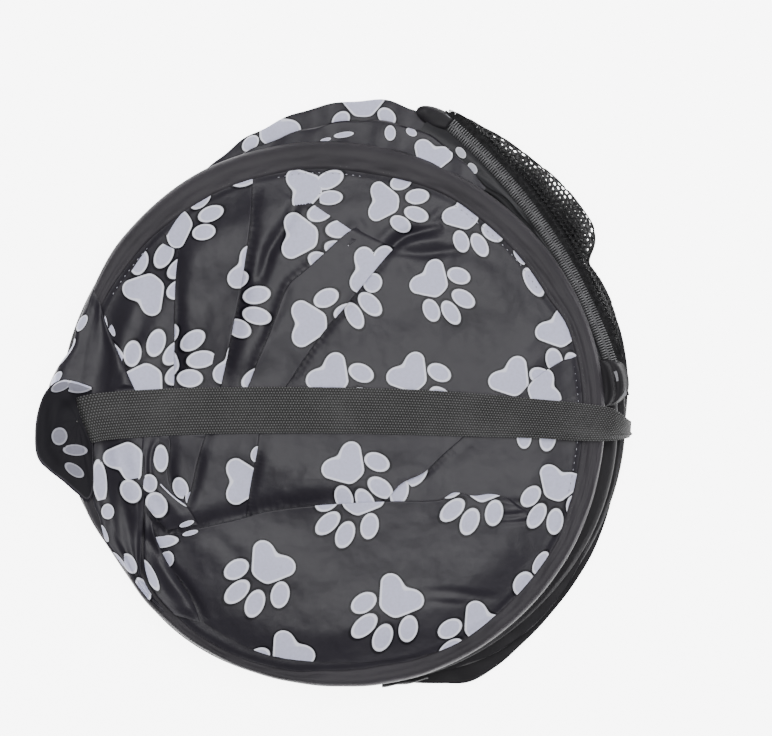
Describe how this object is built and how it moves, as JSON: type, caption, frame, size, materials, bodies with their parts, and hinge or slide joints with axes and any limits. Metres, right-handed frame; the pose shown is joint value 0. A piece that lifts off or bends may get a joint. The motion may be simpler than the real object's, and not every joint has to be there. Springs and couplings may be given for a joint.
{
  "type": "pop-up agility tunnel",
  "caption": "Collapsible pet tunnel folded flat: wire hoops in sewn casings, printed cloth walls, gathered end sleeve, zipped mesh window and elastic strap.",
  "frame": {"origin": "on the floor under the middle of the folded stack's bounding box", "axes": "+Z along the common axis of the hoops, up from the floor the stack lies on; +X towards the strap's sewn end, away from the gathered sleeve; +Y towards the side where the zipper starts"},
  "size_m": [0.33, 0.3278, 0.0422],
  "materials": {
    "casing_fabric": "plain black-grey woven polyester, satin",
    "printed_fabric": "charcoal satin polyester printed with pale paw shapes",
    "net": "black knitted net",
    "spring_steel": "bright spring wire",
    "nylon_coil": "black nylon coil, slight sheen",
    "zipper_tape": "black woven tape",
    "elastic_webbing": "black ribbed woven elastic",
    "black_metal": "black painted die-cast metal"
  },
  "bodies": {
    "bottom_hoop": {"hoop_casing_1": "casing_fabric", "hoop_wire_1": "spring_steel", "wire_ferrule_1": "spring_steel", "end_sleeve_bottom": "printed_fabric", "tunnel_wall_1": "printed_fabric"},
    "hoop_2": {"hoop_casing_2": "casing_fabric", "hoop_wire_2": "spring_steel", "wire_ferrule_2": "spring_steel", "tunnel_wall_2": "printed_fabric", "binding_tail": "casing_fabric"},
    "hoop_3": {"hoop_casing_3": "casing_fabric", "hoop_wire_3": "spring_steel", "wire_ferrule_3": "spring_steel", "tunnel_wall_3": "printed_fabric"},
    "hoop_4": {"hoop_casing_4": "casing_fabric", "hoop_wire_4": "spring_steel", "wire_ferrule_4": "spring_steel", "tunnel_wall_4": "printed_fabric", "mesh_window": "net", "wall_fold_outer": "printed_fabric", "wall_fold_inner": "printed_fabric", "zipper_facing": "casing_fabric", "zipper_tape_inner": "zipper_tape", "zipper_tape_outer": "zipper_tape", "zipper_coil_inner": "nylon_coil", "zipper_coil_outer": "nylon_coil", "zipper_stop_lower": "black_metal", "zipper_stop_upper": "black_metal"},
    "top_hoop": {"hoop_casing_5": "casing_fabric", "hoop_wire_5": "spring_steel", "wire_ferrule_5": "spring_steel", "end_sleeve_top": "printed_fabric", "sleeve_mouth": "printed_fabric", "strap_anchor": "elastic_webbing"},
    "strap": {"elastic_strap": "elastic_webbing"},
    "slider": {"zipper_slider": "black_metal"},
    "pull": {"zipper_pull": "black_metal"}
  },
  "joints": [
    {"name": "bay_1_open", "type": "slide", "parent": "bottom_hoop", "child": "hoop_2", "axis": [0, 0, 1], "range_m": [0, 0.205], "deforming": ["tunnel_wall_1"]},
    {"name": "bay_2_open", "type": "slide", "parent": "hoop_2", "child": "hoop_3", "axis": [0, 0, 1], "range_m": [0, 0.205], "deforming": ["tunnel_wall_2"]},
    {"name": "bay_3_open", "type": "slide", "parent": "hoop_3", "child": "hoop_4", "axis": [0, 0, 1], "range_m": [0, 0.205], "deforming": ["tunnel_wall_3", "mesh_window", "wall_fold_outer"]},
    {"name": "bay_4_open", "type": "slide", "parent": "hoop_4", "child": "top_hoop", "axis": [0, 0, 1], "range_m": [0, 0.205], "deforming": ["tunnel_wall_4", "wall_fold_inner"]},
    {"name": "strap_swing", "type": "hinge", "parent": "top_hoop", "child": "strap", "pos_m": [0.1494, -0.014, 0.042], "axis": [0, 1, 0], "range_deg": [0, 175]},
    {"name": "zipper_slide", "type": "hinge", "parent": "hoop_4", "child": "slider", "pos_m": [-0.133, -0.079, 0.029], "axis": [0, 0, 1], "range_deg": [0, 30.5]},
    {"name": "pull_swing", "type": "hinge", "parent": "slider", "child": "pull", "pos_m": [0.15549, 0.0103, 0.03265], "axis": [-0.9553, -0.2957, 0], "range_deg": [0, 150]}
  ]
}
